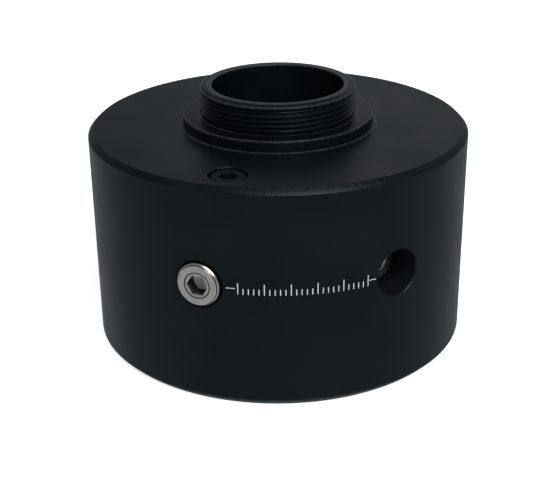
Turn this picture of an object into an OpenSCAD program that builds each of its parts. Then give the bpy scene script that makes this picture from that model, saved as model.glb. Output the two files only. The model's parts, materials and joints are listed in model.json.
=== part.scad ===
// Relay-lens camera adapter: a squat round housing with a focusing sleeve that ends in a 1"-32
// camera thread, held by two radial lock screws, and a 42 mm thread in the base.
// Origin: centre of the bottom face. +Z is the optical axis, towards the camera.
// The marked side faces -Y. An azimuth is counted from -Y towards +X.

/* [Body] */
// Outer diameter of the housing
body_d = 62; // [60:0.5:66]
// Height of the housing with its top plate
body_h = 35.5; // [35:0.5:38]
// Chamfer on the top outer edge
top_chamfer = 0.85; // [0.3:0.05:1.2]
// Chamfer on the bottom outer edge
bottom_chamfer = 0.8; // [0.3:0.05:1.2]
// Thickness of the top plate
plate_t = 5.5; // [5:0.1:5.7]

/* [Camera end] */
// Diameter of the flange that the camera seats on
flange_d = 31; // [30:0.5:34]
// Thickness of that flange
flange_t = 1.8; // [1.4:0.1:2.4]
// Height of the threaded nose above the flange
nose_h = 4.7; // [4.2:0.1:5.2]
// Crest diameter of the 1"-32 camera thread
camera_thread_d = 25.3; // [25.2:0.05:25.4]
// Clear bore through the nose
nose_bore_d = 21.4; // [20:0.2:21.6]

/* [Focusing] */
// Outer diameter of the sliding sleeve
sleeve_d = 27; // [26.8:0.1:27.2]
// Radial clearance of the sleeve in the housing
slide_gap = 0.05; // [0.03:0.01:0.08]
// Travel of the sleeve, upwards from its seat on the top plate
travel = 3.5; // [1:0.5:3.5]

/* [Lock screws] */
// Azimuth of each lock screw to the left and right of the middle
lock_azimuth = 29; // [27:0.5:40]
// Height of the lock screws above the bottom face
lock_z = 19.8; // [19.5:0.1:20]
// Diameter of the recess that takes the screw head
recess_d = 7.8; // [7.4:0.1:8]
// Radius at which the recess ends
recess_floor_r = 21.4; // [20:0.1:21.6]
// Distance from the optical axis to the head face of the backed-out screw
left_face_r = 31.6; // [27:0.2:31.6]
// Distance from the optical axis to the head face of the tightened screw
right_face_r = 26; // [25.8:0.1:26.6]

/* [Base thread] */
// Major diameter of the 42 mm x 0.75 thread
base_thread_d = 42; // [41.5:0.5:43]
// Height of the threaded base ring
base_ring_h = 6.4; // [5.5:0.1:6.4]
// Outer diameter of the base ring
base_ring_d = 54.8; // [54:0.2:56]

/* [Hidden] */
$fn = 96;

body_r = body_d / 2;
seam_z = body_h - plate_t;
bore_r = sleeve_d / 2 + slide_gap;
spigot_r = 20;
spigot_h = 1.5;
fit_gap = 0.05;
screw_gap = 0.02;
screw_end = 0.3;
over = 1;

// Cap screws that hold the top plate: M3 x 6, head 5.5 x 3
plate_screw_azimuths = [-23, 157];
plate_screw_pcr = 25.5;
plate_screw_sink = 0.2;
m3_r = 1.5;
m3_head_r = 2.75;
m3_head_h = 3;
m3_head_round = 0.25;
m3_len = 6;
m3_hole_spare = 0.6;
m3_clear = 0.2;
m3_key = 2.5;
m3_key_depth = 1.5;
m3_recess_r = 2.95;
plate_screw_head_z = body_h - plate_screw_sink;

// Lock screws: M4 x 8, head 7 x 4, each with a brass tip on a stem
m4_r = 1.98;
m4_hole_r = m4_r + fit_gap;
m4_pitch = 0.7;
m4_root_r = 1.6;
m4_len = 8;
m4_head_r = 3.5;
m4_head_h = 4;
m4_key = 3;
m4_key_depth = 2;
head_round = 0.3;
tip_r = 1.5;
tip_len = 1.58;
tip_stem_r = 0.8;
tip_stem_len = 1.4;
tip_gap = 0.02;
lock_groove_margin = 0.1;
lock_groove_r = right_face_r - m4_head_h - m4_len - tip_len - tip_gap;
lock_groove_z0 = lock_z - travel - tip_r - lock_groove_margin;
lock_groove_z1 = lock_z + tip_r + lock_groove_margin;

// Dog-point guide screw at the back, in a closed slot of the sleeve
guide_z = 26.6;
guide_r = 1.25;
guide_recess_r = 1.6;
guide_outer_r = 20;
guide_len = 6;
guide_key = 1.3;
guide_key_depth = 1.3;
guide_dog_r = 0.8;
guide_dog_end_r = 12.7;
guide_slot_w = 1.7;
guide_slot_floor_r = 12.45;
guide_slot_margin = 0.25;

// O-ring that gives the sleeve its drag
ring_section_d = 1.4;
ring_groove_r = sleeve_d / 2 - ring_section_d;
ring_groove_z0 = seam_z + 0.2;
ring_groove_h = 1.6;

// Camera thread, 32 turns to the inch. A ridge rises, ends its crest and falls at these shares of a pitch.
camera_pitch = 25.4 / 32;
camera_crest_r = camera_thread_d / 2;
camera_root_r = camera_crest_r - 0.45;
camera_turns = 4;
top_land = 0.37;
ridge_rise = 0.36;
ridge_crest = 0.54;
ridge_fall = 0.9;
flange_top_z = body_h + flange_t;
nose_top_z = flange_top_z + nose_h;
nose_bore_r = nose_bore_d / 2;
nose_chamfer = 0.3;
camera_thread_z0 = nose_top_z - nose_chamfer - top_land - (camera_turns + ridge_rise) * camera_pitch;
flange_edge = 0.25;
flange_relief_r = camera_crest_r + 0.1;
flange_relief = 0.25;

// Base ring and its three countersunk M2.5 screws
base_pitch = 0.75;
base_major_r = base_thread_d / 2;
base_minor_r = base_major_r - 0.41;
base_turns = 7;
base_thread_z0 = 0.5;
base_lead = 0.25;
base_edge = 0.3;
base_recess_z = base_ring_h + 0.1;
base_screw_pcr = (base_major_r + base_ring_d / 2) / 2 + 0.15;
base_screw_azimuths = [60, 180, 300];
m25_r = 1.23;
m25_hole_r = 1.25;
m25_clear_r = 1.4;
m25_head_r = 2.4;
m25_rim = 0.3;
m25_sink = 0.1;
m25_len = 10;
m25_key = 1.5;
m25_key_depth = 1;

// Lens cell in the lower end of the sleeve
sleeve_bottom_z = 8.2;
cell_r = 11.35;
cell_bore_gap = 0.05;
sleeve_edge = 0.3;
cell_top_z = 23.6;
cell_flange_r = 13.2;
cell_flange_t = 1.3;
cell_edge = 0.2;
cell_slot_w = 1.5;
cell_slot_depth = 0.6;
shim_t = 0.2;
shim_gap = 0.1;
cell_lip_r = 9.2;
lens_seat_z = 9.5;
glare_stop_t = 0.4;
glare_stop_r = 8.5;
grub_z = 11.5;
grub_r = 0.8;
grub_len = 1.8;
grub_key = 0.7;
cell_shoulder_z = cell_top_z + glare_stop_t;

// Optical elements, 20 mm across
lens_r = 10;
lens_gap = 0.05;
crown_edge_t = 4;
crown_front_rad = 40;
cement_rad = 28;
cement_land_r = 9.4;
flint_edge_z = lens_seat_z + crown_edge_t + 1.8;
flint_rear_rad = 60;
clear_r = 9.2;
spacer_t = 3;
field_z = flint_edge_z + spacer_t;
field_t = 3.3;
field_rad = 45;
retainer_r = 8.8;
retainer_gap = 0.02;
retainer_sink = 0.4;
retainer_slot_w = 1.2;
retainer_slot_depth = 0.7;
cement_gap = 0.01;

// Depth of a spherical surface over a given half-width
function sag(rad, half) = rad - sqrt(rad * rad - half * half);

crown_dip_z = lens_seat_z + sag(crown_front_rad, clear_r);
cement_dip_z = lens_seat_z + crown_edge_t - sag(cement_rad, cement_land_r);
flint_dip_z = flint_edge_z - sag(flint_rear_rad, clear_r);
field_top_z = field_z + field_t;
retainer_z0 = field_top_z - sag(field_rad, retainer_r) + retainer_gap;
retainer_z1 = cell_top_z - retainer_sink;

// Half-section of thread ridges with flat crests, as [radius, height] points
function ridges(z0, turns, pitch, root, crest) = [
    for (i = [0:turns - 1])
        each [
            [root, z0 + i * pitch],
            [crest, z0 + (i + ridge_rise) * pitch],
            [crest, z0 + (i + ridge_crest) * pitch],
            [root, z0 + (i + ridge_fall) * pitch]
        ]
];

// Puts local +Z radially outwards at an azimuth and a height
module outward(azimuth, z) {
    translate([0, 0, z]) rotate([0, 0, azimuth]) rotate([90, 0, 0]) children();
}

// Puts children at a radius and an azimuth, upright
module around(azimuth, radius) {
    rotate([0, 0, azimuth]) translate([0, -radius, 0]) children();
}

module tube(outer, inner, z0, z1) {
    difference() {
        translate([0, 0, z0]) cylinder(r = outer, h = z1 - z0);
        translate([0, 0, z0 - over]) cylinder(r = inner, h = z1 - z0 + 2 * over);
    }
}

module hex_hole(key, depth) {
    translate([0, 0, -depth]) cylinder(r = key / sqrt(3), h = depth + over, $fn = 6);
}

// A hexagonal key socket with its mouth at z = 0, a drill point below it and a countersunk mouth
module key_socket(key, depth) {
    drill_r = 0.497 * key;
    point_h = drill_r * tan(30);
    lead = 0.25;
    hex_hole(key, depth);
    translate([0, 0, -depth - point_h]) cylinder(r1 = 0, r2 = drill_r, h = point_h + 0.01);
    translate([0, 0, -lead]) cylinder(r1 = key / 2, r2 = key / 2 + 2 * lead, h = 2 * lead);
}

module barrel() {
    color([0.06, 0.07, 0.08]) difference() {
        rotate_extrude() polygon([
            [base_ring_d / 2 + fit_gap, 0],
            [body_r - bottom_chamfer, 0],
            [body_r, bottom_chamfer],
            [body_r, seam_z],
            [spigot_r + fit_gap, seam_z],
            [spigot_r + fit_gap, seam_z - spigot_h],
            [bore_r, seam_z - spigot_h],
            [bore_r, base_recess_z],
            [base_ring_d / 2 + fit_gap, base_recess_z]
        ]);
        for (azimuth = [-lock_azimuth, lock_azimuth]) outward(azimuth, lock_z) {
            translate([0, 0, recess_floor_r]) cylinder(d = recess_d, h = body_r);
            cylinder(r = m4_hole_r, h = body_r);
        }
        for (azimuth = plate_screw_azimuths) around(azimuth, plate_screw_pcr)
            translate([0, 0, plate_screw_head_z - m3_head_h - m3_len - m3_hole_spare])
                cylinder(r = m3_r, h = body_h);
        for (azimuth = base_screw_azimuths) around(azimuth, base_screw_pcr)
            cylinder(r = m25_hole_r, h = m25_len + over);
        outward(180, guide_z) {
            cylinder(r = guide_r, h = body_r);
            translate([0, 0, guide_outer_r]) cylinder(r = guide_recess_r, h = body_r);
        }
    }
}

module top_plate() {
    color([0.08, 0.09, 0.1]) difference() {
        rotate_extrude() polygon([
            [bore_r, seam_z - spigot_h],
            [spigot_r, seam_z - spigot_h],
            [spigot_r, seam_z],
            [body_r, seam_z],
            [body_r, body_h - top_chamfer],
            [body_r - top_chamfer, body_h],
            [bore_r + sleeve_edge, body_h],
            [bore_r, body_h - sleeve_edge]
        ]);
        for (azimuth = plate_screw_azimuths) around(azimuth, plate_screw_pcr) {
            translate([0, 0, plate_screw_head_z - m3_head_h]) cylinder(r = m3_recess_r, h = body_h);
            cylinder(r = m3_r + m3_clear, h = body_h);
        }
    }
}

module top_plate_screws() {
    color([0.1, 0.1, 0.11]) for (azimuth = plate_screw_azimuths) around(azimuth, plate_screw_pcr)
        translate([0, 0, plate_screw_head_z]) difference() {
            rotate_extrude() polygon([
                [0, -m3_head_h - m3_len],
                [m3_r - screw_end, -m3_head_h - m3_len],
                [m3_r - screw_gap, -m3_head_h - m3_len + screw_end],
                [m3_r - screw_gap, -m3_head_h],
                [m3_head_r, -m3_head_h],
                [m3_head_r, -m3_head_round],
                [m3_head_r - m3_head_round, 0],
                [0, 0]
            ]);
            key_socket(m3_key, m3_key_depth);
        }
}

module guide_screw() {
    color([0.35, 0.35, 0.36]) outward(180, guide_z) difference() {
        union() {
            translate([0, 0, guide_outer_r - guide_len]) cylinder(r = guide_r - screw_gap, h = guide_len);
            translate([0, 0, guide_dog_end_r]) cylinder(r = guide_dog_r, h = guide_len);
        }
        translate([0, 0, guide_outer_r]) hex_hole(guide_key, guide_key_depth);
    }
}

module base_ring() {
    color([0.07, 0.08, 0.09]) difference() {
        rotate_extrude() polygon(concat(
            [[base_ring_d / 2, base_ring_h], [base_ring_d / 2, base_edge],
             [base_ring_d / 2 - base_edge, 0],
             [base_major_r + base_lead, 0], [base_major_r, base_lead]],
            ridges(base_thread_z0, base_turns, base_pitch, base_major_r, base_minor_r),
            [[base_major_r, base_ring_h]]
        ));
        for (azimuth = base_screw_azimuths) around(azimuth, base_screw_pcr) {
            translate([0, 0, -over]) cylinder(r = m25_clear_r, h = body_h);
            translate([0, 0, -over]) cylinder(r = m25_head_r, h = over + m25_rim);
            translate([0, 0, m25_rim])
                cylinder(r1 = m25_head_r, r2 = m25_clear_r, h = m25_head_r - m25_clear_r);
        }
    }
}

module base_ring_screws() {
    color([0.2, 0.2, 0.21]) for (azimuth = base_screw_azimuths) around(azimuth, base_screw_pcr)
    difference() {
        rotate_extrude() polygon([
            [0, m25_sink],
            [m25_head_r - fit_gap, m25_sink],
            [m25_head_r - fit_gap, m25_rim],
            [m25_r, m25_rim + m25_head_r - fit_gap - m25_r],
            [m25_r, m25_len - screw_end],
            [m25_r - screw_end, m25_len],
            [0, m25_len]
        ]);
        translate([0, 0, m25_sink]) mirror([0, 0, 1]) hex_hole(m25_key, m25_key_depth);
    }
}

module focus_sleeve() {
    sleeve_r = sleeve_d / 2;
    land_z0 = nose_top_z - nose_chamfer - top_land;
    color([0.09, 0.1, 0.11]) difference() {
        rotate_extrude() polygon(concat(
            [[cell_r + cell_bore_gap, sleeve_bottom_z], [sleeve_r - sleeve_edge, sleeve_bottom_z],
             [sleeve_r, sleeve_bottom_z + sleeve_edge],
             [sleeve_r, lock_groove_z0], [lock_groove_r, lock_groove_z0],
             [lock_groove_r, lock_groove_z1], [sleeve_r, lock_groove_z1],
             [sleeve_r, ring_groove_z0], [ring_groove_r, ring_groove_z0],
             [ring_groove_r, ring_groove_z0 + ring_groove_h], [sleeve_r, ring_groove_z0 + ring_groove_h],
             [sleeve_r, body_h], [flange_d / 2, body_h],
             [flange_d / 2, flange_top_z - flange_edge], [flange_d / 2 - flange_edge, flange_top_z],
             [flange_relief_r, flange_top_z], [flange_relief_r, flange_top_z - flange_relief],
             [camera_root_r, flange_top_z - flange_relief]],
            ridges(camera_thread_z0, camera_turns, camera_pitch, camera_root_r, camera_crest_r),
            [[camera_root_r, land_z0 - ridge_rise * camera_pitch], [camera_crest_r, land_z0],
             [camera_crest_r, land_z0 + top_land], [camera_crest_r - nose_chamfer, nose_top_z],
             [nose_bore_r + nose_chamfer, nose_top_z], [nose_bore_r, nose_top_z - nose_chamfer],
             [nose_bore_r, cell_shoulder_z], [cell_r + cell_bore_gap, cell_shoulder_z]]
        ));
        outward(180, guide_z)
            translate([-guide_slot_w / 2, -travel - guide_dog_r - guide_slot_margin, guide_slot_floor_r])
                cube([guide_slot_w, travel + 2 * (guide_dog_r + guide_slot_margin), body_r]);
        for (azimuth = [90, 270]) outward(azimuth, grub_z) cylinder(r = grub_r, h = body_r);
    }
}

module sleeve_o_ring() {
    color([0.03, 0.03, 0.03]) rotate_extrude()
        translate([ring_groove_r + ring_section_d / 2, ring_groove_z0 + ring_groove_h / 2])
            circle(d = ring_section_d, $fn = 48);
}

module lens_cell() {
    flange_z = sleeve_bottom_z - shim_t;
    color([0.12, 0.12, 0.13]) difference() {
        rotate_extrude() polygon([
            [cell_lip_r + cell_slot_depth, flange_z - cell_flange_t],
            [cell_flange_r - cell_edge, flange_z - cell_flange_t],
            [cell_flange_r, flange_z - cell_flange_t + cell_edge],
            [cell_flange_r, flange_z],
            [cell_r, flange_z],
            [cell_r, cell_top_z],
            [lens_r + lens_gap, cell_top_z],
            [lens_r + lens_gap, lens_seat_z],
            [cell_lip_r, lens_seat_z],
            [cell_lip_r, flange_z - cell_flange_t + cell_slot_depth]
        ]);
        for (azimuth = [0, 90]) rotate([0, 0, azimuth])
            translate([-body_r, -cell_slot_w / 2, flange_z - cell_flange_t - over])
                cube([2 * body_r, cell_slot_w, over + cell_slot_depth]);
    }
}

module cell_shim() {
    color([0.72, 0.6, 0.35])
        tube(cell_flange_r - shim_gap, cell_r + shim_gap, sleeve_bottom_z - shim_t, sleeve_bottom_z);
}

module cell_grub_screws() {
    color([0.3, 0.3, 0.31]) for (azimuth = [90, 270]) outward(azimuth, grub_z) difference() {
        translate([0, 0, cell_r + screw_gap]) cylinder(r = grub_r - screw_gap, h = grub_len);
        translate([0, 0, cell_r + screw_gap + grub_len]) hex_hole(grub_key, grub_key);
    }
}

module crown_element() {
    color([0.75, 0.85, 0.9, 0.5]) difference() {
        translate([0, 0, lens_seat_z]) cylinder(r = lens_r, h = crown_edge_t);
        translate([0, 0, crown_dip_z - crown_front_rad]) sphere(r = crown_front_rad);
        translate([0, 0, cement_dip_z + cement_rad]) sphere(r = cement_rad);
    }
}

module flint_element() {
    color([0.7, 0.8, 0.85, 0.5]) difference() {
        intersection() {
            translate([0, 0, cement_dip_z]) cylinder(r = lens_r, h = flint_edge_z - cement_dip_z);
            translate([0, 0, cement_dip_z + cement_rad + cement_gap]) sphere(r = cement_rad);
        }
        translate([0, 0, flint_dip_z + flint_rear_rad]) sphere(r = flint_rear_rad);
    }
}

module lens_spacer() {
    color([0.1, 0.1, 0.1]) tube(lens_r, clear_r, flint_edge_z, field_z);
}

module field_lens() {
    color([0.75, 0.85, 0.9, 0.5]) intersection() {
        translate([0, 0, field_z]) cylinder(r = lens_r, h = field_t);
        translate([0, 0, field_top_z - field_rad]) sphere(r = field_rad);
    }
}

module lens_retaining_ring() {
    color([0.12, 0.12, 0.12]) difference() {
        tube(lens_r, retainer_r, retainer_z0, retainer_z1);
        translate([-body_r, -retainer_slot_w / 2, retainer_z1 - retainer_slot_depth])
            cube([2 * body_r, retainer_slot_w, over + retainer_slot_depth]);
    }
}

module glare_stop() {
    color([0.05, 0.05, 0.05]) tube(cell_r, glare_stop_r, cell_top_z, cell_shoulder_z);
}

// A lock screw along local +Z, with its head face at z = face_r
module lock_screw(face_r) {
    under = face_r - m4_head_h;
    end = under - m4_len;
    turns = floor((m4_len - 2 * screw_end) / m4_pitch);
    difference() {
        rotate_extrude() polygon(concat(
            [[0, end], [m4_root_r - tip_gap, end]],
            ridges(end + screw_end, turns, m4_pitch, m4_root_r, m4_r),
            [[m4_root_r, under], [m4_head_r, under], [m4_head_r, face_r - head_round],
             [m4_head_r - head_round, face_r], [0, face_r]]
        ));
        translate([0, 0, face_r]) key_socket(m4_key, m4_key_depth);
        translate([0, 0, end - over]) cylinder(r = tip_stem_r + fit_gap, h = over + tip_stem_len + fit_gap);
    }
}

// The brass tip of a lock screw, which turns freely on its stem
module lock_tip(face_r) {
    end = face_r - m4_head_h - m4_len;
    translate([0, 0, end - tip_len]) cylinder(r = tip_r, h = tip_len - tip_gap);
    translate([0, 0, end - tip_len]) cylinder(r = tip_stem_r, h = tip_len + tip_stem_len);
}

module left_lock_screw() {
    color([0.75, 0.75, 0.74]) outward(-lock_azimuth, lock_z) lock_screw(left_face_r);
}

module left_screw_tip() {
    color([0.8, 0.65, 0.3]) outward(-lock_azimuth, lock_z) lock_tip(left_face_r);
}

module right_lock_screw() {
    color([0.75, 0.75, 0.74]) outward(lock_azimuth, lock_z) lock_screw(right_face_r);
}

module right_screw_tip() {
    color([0.8, 0.65, 0.3]) outward(lock_azimuth, lock_z) lock_tip(right_face_r);
}

barrel();
top_plate();
top_plate_screws();
guide_screw();
base_ring();
base_ring_screws();
focus_sleeve();
sleeve_o_ring();
lens_cell();
cell_shim();
cell_grub_screws();
crown_element();
flint_element();
lens_spacer();
field_lens();
lens_retaining_ring();
glare_stop();
left_lock_screw();
left_screw_tip();
right_lock_screw();
right_screw_tip();
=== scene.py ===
"""Looks of the barlow lens camera adapter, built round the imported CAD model.

Outlines are half-sections in millimetres, as (radius, height) or (radius, height, corner rounding).
The optical axis is +Z, the bottom face is at z = 0 and the marked side faces -Y.
"""

import json
import math

import bmesh
import bpy
from mathutils import Matrix, Vector


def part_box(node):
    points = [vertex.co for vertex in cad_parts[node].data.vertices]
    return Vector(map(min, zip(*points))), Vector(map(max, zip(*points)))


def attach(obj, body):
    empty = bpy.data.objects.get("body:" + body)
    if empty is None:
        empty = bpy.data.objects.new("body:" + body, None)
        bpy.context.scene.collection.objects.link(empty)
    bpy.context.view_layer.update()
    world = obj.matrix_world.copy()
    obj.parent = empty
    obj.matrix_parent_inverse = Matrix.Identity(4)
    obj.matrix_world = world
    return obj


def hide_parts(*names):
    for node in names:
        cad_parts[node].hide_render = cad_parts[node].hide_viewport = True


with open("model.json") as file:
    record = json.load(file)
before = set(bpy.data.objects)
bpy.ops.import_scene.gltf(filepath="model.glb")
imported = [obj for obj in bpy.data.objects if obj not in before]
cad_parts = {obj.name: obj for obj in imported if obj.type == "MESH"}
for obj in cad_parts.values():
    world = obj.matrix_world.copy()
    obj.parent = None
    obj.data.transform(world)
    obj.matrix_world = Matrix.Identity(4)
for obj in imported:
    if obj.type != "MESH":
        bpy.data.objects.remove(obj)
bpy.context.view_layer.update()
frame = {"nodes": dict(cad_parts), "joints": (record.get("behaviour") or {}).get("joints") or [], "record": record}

MM = 0.001
JOINTS = {joint["name"]: joint for joint in frame["joints"]}
MOUNTS = {mount["name"]: mount for mount in frame["record"]["mounts"]}


# ---------------------------------------------------------------- sizes read from the frame

def low(node):
    """Lowest height of a CAD node, in mm."""
    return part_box(node)[0].z / MM


def high(node):
    """Greatest height of a CAD node, in mm."""
    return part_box(node)[1].z / MM


def radius(node):
    """Radius of a CAD node that is centred on the optical axis, in mm."""
    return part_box(node)[1].x / MM


def reach(node, axis):
    """How far a CAD node lies along a horizontal axis, in mm, as (nearest, furthest)."""
    along = [vertex.co.dot(axis) / MM for vertex in frame["nodes"][node].data.vertices]
    return min(along), max(along)


BODY_R = radius("barrel")
SEAM_Z = high("barrel")
PLATE_Z = high("top_plate")
SLEEVE_Z = (low("focus_sleeve"), high("focus_sleeve"))
FLANGE_R = radius("focus_sleeve")
FLANGE_Z = MOUNTS["camera_flange"]["pos_m"][2] / MM
NOSE_R = MOUNTS["camera_thread"]["dims"]["r_mm"]
BASE_MINOR_R = MOUNTS["base_thread"]["dims"]["r_mm"]
BASE_RING_R = radius("base_ring")
BASE_RING_H = high("base_ring")
LEFT_AXIS = Vector(JOINTS["left_screw_turn"]["axis"])
RIGHT_AXIS = Vector(JOINTS["right_screw_turn"]["axis"])
LOCK_Z = JOINTS["right_screw_turn"]["pos_m"][2] / MM
BACK_AXIS = Vector((0, 1, 0))

# The rest repeat the part's own dimensions, in mm
BORE_R = 13.55
SLEEVE_R = 13.5
NOSE_BORE_R = 10.7
TOP_CHAMFER = 0.85
BOTTOM_CHAMFER = 0.8
SPIGOT_R, SPIGOT_H = 20.0, 1.5
FIT = 0.05
CAMERA_PITCH = 25.4 / 32
CAMERA_DEPTH = 0.36
NOSE_CHAMFER_W, NOSE_CHAMFER_H = 0.58, 0.33
FOOT_R, FOOT_H = FLANGE_R + 0.5, 0.11
TOP_LAND = 0.34
BASE_PITCH = 0.75
BASE_DEPTH = 0.41
RECESS_R = 3.7
RECESS_FLOOR = 21.4
M4_R, M4_ROOT, M4_PITCH, M4_LENGTH, M4_HOLE = 1.98, 1.6, 0.7, 8.0, 2.03
M4_HEAD_R, M4_HEAD_H, M4_KEY, M4_KEY_DEPTH = 3.45, 4.0, 3.0, 2.0
LOCK_MOUTH, LOCK_CHAMFER, LOCK_STEP = 0.53, 0.28, 0.12
TIP_HOLE_R, TIP_HOLE_DEPTH = 0.85, 1.5
M25_R, M25_ROOT, M25_PITCH, M25_HOLE = 1.23, 1.05, 0.45, 1.25
M3_R, M3_ROOT, M3_PITCH, M3_LENGTH = 1.48, 1.2, 0.5, 6.0
M3_HEAD_R, M3_HEAD_H, M3_KEY, M3_KEY_DEPTH = 2.75, 3.0, 2.5, 1.5
M3_MOUTH, M3_CHAMFER, M3_STEP = 0.3, 0.25, 0.03
PLATE_SCREW_R, PLATE_SCREW_AZIMUTHS = 25.5, (-23.0, 157.0)
BASE_SCREW_R, BASE_SCREW_AZIMUTHS = 24.35, (60.0, 180.0, 300.0)
CELL_R, CELL_GRUB_Z = 11.35, 11.5
LENS_R = 10.0

COLUMNS = 288
FINE_COLUMNS = 144
WELD = 2e-7


# ---------------------------------------------------------------- mesh tools

def corner_arc(before, corner, after, rounding, steps):
    """Points of the arc that rounds one corner of an outline."""
    to_before = (before - corner).normalized()
    to_after = (after - corner).normalized()
    half = to_before.angle(to_after) / 2
    run = min(rounding / math.tan(half), 0.49 * (before - corner).length, 0.49 * (after - corner).length)
    centre = corner + (to_before + to_after).normalized() * (run / math.cos(half))
    start = corner + to_before * run - centre
    turn = start.angle_signed(corner + to_after * run - centre)
    return [centre + Matrix.Rotation(-turn * i / steps, 2) @ start for i in range(steps + 1)]


def outline(points, steps=4, closed=True):
    """Turns (radius, height[, rounding]) points into a plain outline with its corners rounded."""
    corners = [Vector(point[:2]) for point in points]
    made = []
    for i, point in enumerate(points):
        inner = closed or 0 < i < len(points) - 1
        if len(point) > 2 and inner:
            made += corner_arc(corners[i - 1], corners[i], corners[(i + 1) % len(points)], point[2], steps)
        else:
            made.append(corners[i])
    return [(point.x, point.y) for point in made]


def revolve(points, columns=COLUMNS, closed=True):
    """Vertices and faces of an outline turned about Z, in mm. Points on the axis become one vertex."""
    verts, rows = [], []
    for r, z in points:
        if r < 1e-6:
            rows.append([len(verts)] * columns)
            verts.append((0, 0, z))
        else:
            rows.append(list(range(len(verts), len(verts) + columns)))
            for i in range(columns):
                angle = math.tau * i / columns
                verts.append((r * math.cos(angle), r * math.sin(angle), z))
    faces = []
    pairs = list(zip(rows, rows[1:] + rows[:1])) if closed else list(zip(rows, rows[1:]))
    for one, two in pairs:
        for i in range(columns):
            j = (i + 1) % columns
            corners = list(dict.fromkeys((one[i], one[j], two[j], two[i])))
            if len(corners) > 2:
                faces.append(corners)
    return verts, faces


def helix(z0, z1, pitch, root, crest, columns=COLUMNS, rows_per_pitch=14, fade=0.35):
    """A threaded wall from z0 to z1, in mm. Its rows climb with the thread, so each crest is a clean edge."""
    def wall(angle, z):
        phase = ((z - z0) / pitch - angle / math.tau) % 1
        shape = min(1, max(0, (0.5 - abs(phase - 0.5)) * 2.9 - 0.22))
        ends = min(1, max(0, (z - z0) / (fade * pitch)), max(0, (z1 - z) / (fade * pitch)))
        return root + (crest - root) * shape * ends

    rows = math.ceil((z1 - z0) / pitch + 1) * rows_per_pitch + 1
    verts, faces = [], []
    for i in range(columns + 1):
        angle = math.tau * i / columns
        for k in range(rows):
            z = z0 + pitch * (k / rows_per_pitch - 1 + i / columns)
            z = min(z1, max(z0, z))
            r = wall(angle, z)
            verts.append((r * math.cos(angle), r * math.sin(angle), z))
    for i in range(columns):
        for k in range(rows - 1):
            a = i * rows + k
            faces.append((a, a + rows, a + rows + 1, a + 1))
    return verts, faces


def build(name, *shapes, sharp=30):
    """A mesh object from one or more (vertices, faces) in mm, welded into one closed skin."""
    mesh = bpy.data.meshes.new(name)
    bm = bmesh.new()
    for verts, faces in shapes:
        made = [bm.verts.new(Vector(co) * MM) for co in verts]
        for face in faces:
            bm.faces.new([made[i] for i in face])
    bmesh.ops.remove_doubles(bm, verts=bm.verts, dist=WELD)
    bmesh.ops.dissolve_degenerate(bm, edges=bm.edges, dist=WELD)
    bmesh.ops.recalc_face_normals(bm, faces=bm.faces)
    bm.to_mesh(mesh)
    bm.free()
    piece = bpy.data.objects.new(name, mesh)
    bpy.context.scene.collection.objects.link(piece)
    smooth(piece, sharp)
    return piece


def smooth(piece, sharp=30):
    piece.data.shade_smooth()
    piece.data.set_sharp_from_angle(angle=math.radians(sharp))


def moved(shape, matrix):
    """A (vertices, faces) shape moved by a matrix whose shift is in mm."""
    verts, faces = shape
    return [tuple(matrix @ Vector(co)) for co in verts], faces


def joined(*shapes):
    """Several (vertices, faces) shapes as one, not welded."""
    verts, faces = [], []
    for more_verts, more_faces in shapes:
        start = len(verts)
        verts += more_verts
        faces += [[start + i for i in face] for face in more_faces]
    return verts, faces


def outward(axis, z=0.0):
    """Matrix that lays local +Z along a horizontal axis at a height, with local Y upright."""
    side = Vector((0, 0, 1)).cross(axis)
    basis = Matrix((side, Vector((0, 0, 1)), axis)).transposed()
    return Matrix.Translation((0, 0, z)) @ basis.to_4x4()


def around(azimuth, r, z=0.0):
    """Matrix that puts an upright shape at an azimuth counted from -Y towards +X."""
    angle = math.radians(azimuth)
    return Matrix.Translation((r * math.sin(angle), -r * math.cos(angle), z))


def rod(r, z0, z1, columns=48):
    return revolve([(0, z0), (r, z0), (r, z1), (0, z1)], columns, closed=False)


def prism(points, z0, z1):
    """A closed prism over a flat outline of (x, y) points."""
    count = len(points)
    verts = [(x, y, z0) for x, y in points] + [(x, y, z1) for x, y in points]
    faces = [[i, (i + 1) % count, (i + 1) % count + count, i + count] for i in range(count)]
    return verts, faces + [list(range(count)), list(range(count, 2 * count))]


def bar(x0, x1, y0, y1, z0, z1):
    """A closed rectangular block."""
    return prism([(x0, y0), (x1, y0), (x1, y1), (x0, y1)], z0, z1)


def circle_points(r, count, x0=0.0, y0=0.0):
    """Evenly spaced points on a circle."""
    turns = [math.tau * i / count for i in range(count)]
    return [(x0 + r * math.cos(turn), y0 + r * math.sin(turn)) for turn in turns]


def hexagon(across_flats, z0, z1):
    return prism(circle_points(across_flats / math.sqrt(3), 6), z0, z1)


def carve(piece, shape, sharp=30):
    """Cuts a closed shape out of a piece."""
    cutter = build("cutter", shape)
    cut = piece.modifiers.new("cut", "BOOLEAN")
    cut.operation, cut.solver, cut.object = "DIFFERENCE", "MANIFOLD", cutter
    bpy.context.view_layer.update()
    result = bpy.data.meshes.new_from_object(piece.evaluated_get(bpy.context.evaluated_depsgraph_get()))
    piece.modifiers.clear()
    old, piece.data = piece.data, result
    result.name = piece.name
    bpy.data.meshes.remove(old)
    bpy.data.objects.remove(cutter)
    smooth(piece, sharp)
    return piece


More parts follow.
